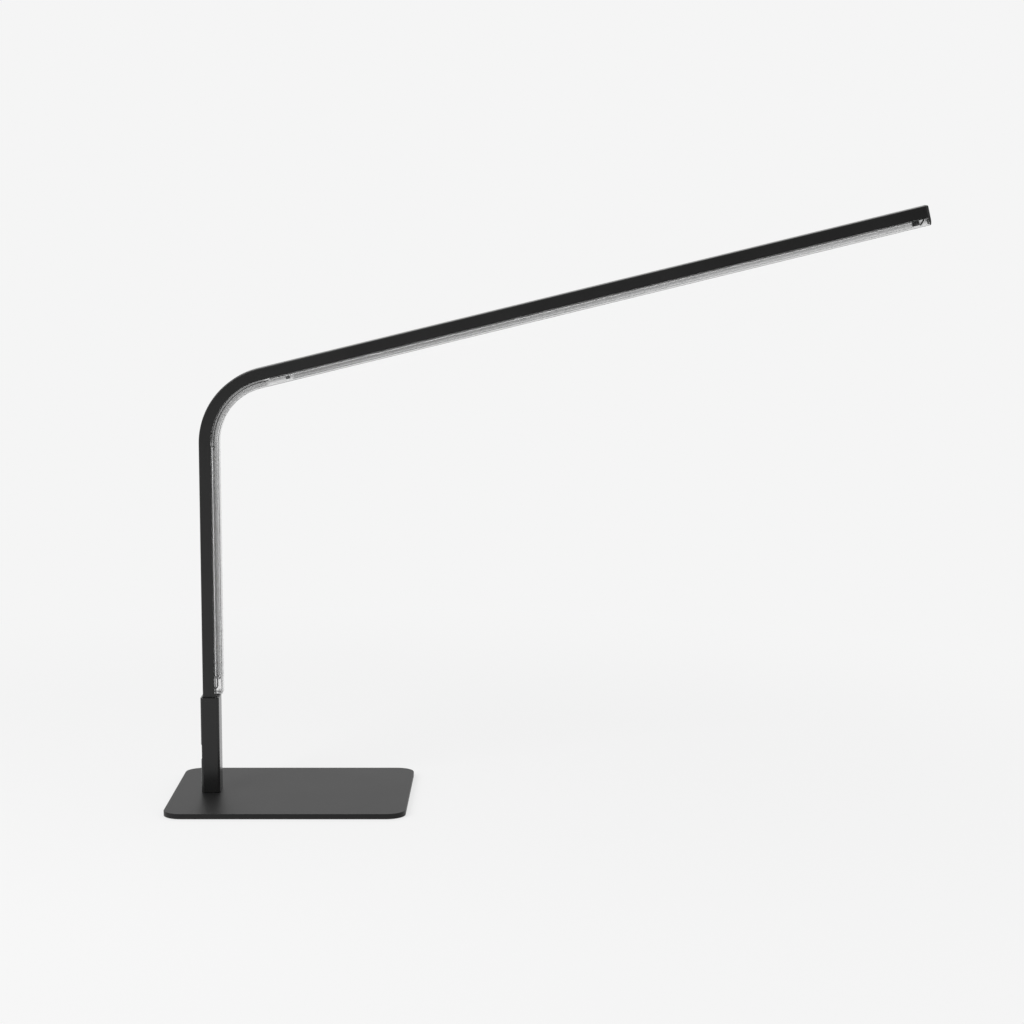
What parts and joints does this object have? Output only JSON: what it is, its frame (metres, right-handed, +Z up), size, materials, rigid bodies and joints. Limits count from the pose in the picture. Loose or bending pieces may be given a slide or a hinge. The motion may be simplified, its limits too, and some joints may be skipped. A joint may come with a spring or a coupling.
{
  "type": "desk lamp",
  "caption": "Slim desk lamp: one bent black arm with a clear light cover on its inner side turns on a flat rectangular base plate.",
  "frame": {"origin": "centre of the base pad's underside, on the surface that the lamp stands on", "axes": "+X the way the arm reaches at rest, +Z up, +Y across the arm"},
  "size_m": [0.7263, 0.196, 0.5725],
  "materials": {
    "base_paint": "matte",
    "pad_rubber": "matte",
    "bush_plastic": "satin",
    "spring_steel": "satin",
    "screw_steel": "satin",
    "screw_steel_black": "satin",
    "plug_aluminium": "satin",
    "sleeve_black": "satin",
    "liner_plastic": "matte",
    "jack_plastic": "satin",
    "contact_brass": "polished",
    "driver_board_green": "satin",
    "ferrite": "matte",
    "chip_black": "satin",
    "capacitor_tan": "satin",
    "lead_sheath": "satin",
    "ribbon_sheath": "satin",
    "arm_black": "satin",
    "clear_cover": "gloss",
    "diffuser_film": "matte",
    "pale_plastic": "satin",
    "light_board_white": "satin",
    "light_chip_yellow": "satin",
    "cap_plastic": "satin",
    "sensor_board_dark": "satin",
    "contact_black": "satin",
    "pilot_clear": "gloss"
  },
  "bodies": {
    "base": {"base_plate": "base_paint", "base_pad": "pad_rubber", "swivel_bush": "bush_plastic", "thrust_washer": "bush_plastic", "spring_washer": "spring_steel"},
    "arm": {"pivot_screw": "screw_steel", "foot_plug": "plug_aluminium", "set_screws": "screw_steel_black", "post_sleeve": "sleeve_black", "sleeve_liner": "liner_plastic", "dc_jack": "jack_plastic", "jack_pin": "contact_brass", "jack_terminals": "contact_brass", "driver_board": "driver_board_green", "driver_inductor": "ferrite", "driver_chip": "chip_black", "driver_capacitors": "capacitor_tan", "supply_lead": "lead_sheath", "arm_channel": "arm_black", "light_cover": "clear_cover", "cover_end_plug": "clear_cover", "lower_light_board": "light_board_white", "upper_light_board": "light_board_white", "lower_light_chips": "light_chip_yellow", "upper_light_chips": "light_chip_yellow", "lower_connector": "pale_plastic", "upper_connector": "chip_black", "jumper_ribbon": "ribbon_sheath", "lower_diffuser": "diffuser_film", "upper_diffuser": "diffuser_film", "tip_cap": "cap_plastic", "sensor_board": "sensor_board_dark", "sensor_connector": "chip_black", "touch_contact": "contact_black", "pilot_light": "pilot_clear"}
  },
  "joints": [
    {"name": "base_swivel", "type": "hinge", "parent": "base", "child": "arm", "pos_m": [-0.078, 0, 0.0056], "axis": [0, 0, 1], "continuous": true}
  ]
}
